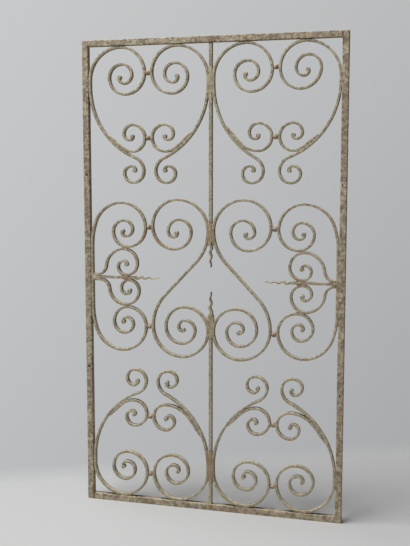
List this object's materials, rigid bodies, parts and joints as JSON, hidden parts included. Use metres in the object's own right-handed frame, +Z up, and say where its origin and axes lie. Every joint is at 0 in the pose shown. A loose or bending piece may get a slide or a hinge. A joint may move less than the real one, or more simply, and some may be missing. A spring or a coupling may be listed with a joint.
{
  "type": "wrought iron grille",
  "caption": "Rectangular window grille: square-bar frame filled with forged hearts, S and C scrolls, ball spacers and bars with wavy flame points, in worn paint over rusted iron",
  "frame": {"origin": "middle of the underside of the bottom rail, half way through the grille's depth", "axes": "X runs across the grille, Y through its depth with the front facing -Y, Z up"},
  "size_m": [0.844, 0.02, 1.5],
  "materials": {
    "frame_patina": "worn khaki and cream paint over brown rusted iron, rough",
    "scroll_patina": "worn khaki and cream paint over brown rusted iron, rust at the welds",
    "ball_patina": "brown rusted iron with traces of paint"
  },
  "bodies": {
    "root": {"ball_spacers": "ball_patina", "bottom_rail": "frame_patina", "left_c_scroll": "scroll_patina", "left_lower_side_scroll": "scroll_patina", "left_s_scroll": "scroll_patina", "left_spike": "scroll_patina", "left_stile": "frame_patina", "left_upper_side_scroll": "scroll_patina", "lower_centre_bar": "scroll_patina", "lower_left_heart_inner_branch": "scroll_patina", "lower_left_heart_inner_scroll": "scroll_patina", "lower_left_heart_outer_branch": "scroll_patina", "lower_left_heart_outer_scroll": "scroll_patina", "lower_right_heart_inner_branch": "scroll_patina", "lower_right_heart_inner_scroll": "scroll_patina", "lower_right_heart_outer_branch": "scroll_patina", "lower_right_heart_outer_scroll": "scroll_patina", "right_c_scroll": "scroll_patina", "right_lower_side_scroll": "scroll_patina", "right_s_scroll": "scroll_patina", "right_spike": "scroll_patina", "right_stile": "frame_patina", "right_upper_side_scroll": "scroll_patina", "top_rail": "frame_patina", "upper_centre_bar": "scroll_patina", "upper_left_heart_inner_branch": "scroll_patina", "upper_left_heart_inner_scroll": "scroll_patina", "upper_left_heart_outer_branch": "scroll_patina", "upper_left_heart_outer_scroll": "scroll_patina", "upper_right_heart_inner_branch": "scroll_patina", "upper_right_heart_inner_scroll": "scroll_patina", "upper_right_heart_outer_branch": "scroll_patina", "upper_right_heart_outer_scroll": "scroll_patina"}
  },
  "joints": []
}
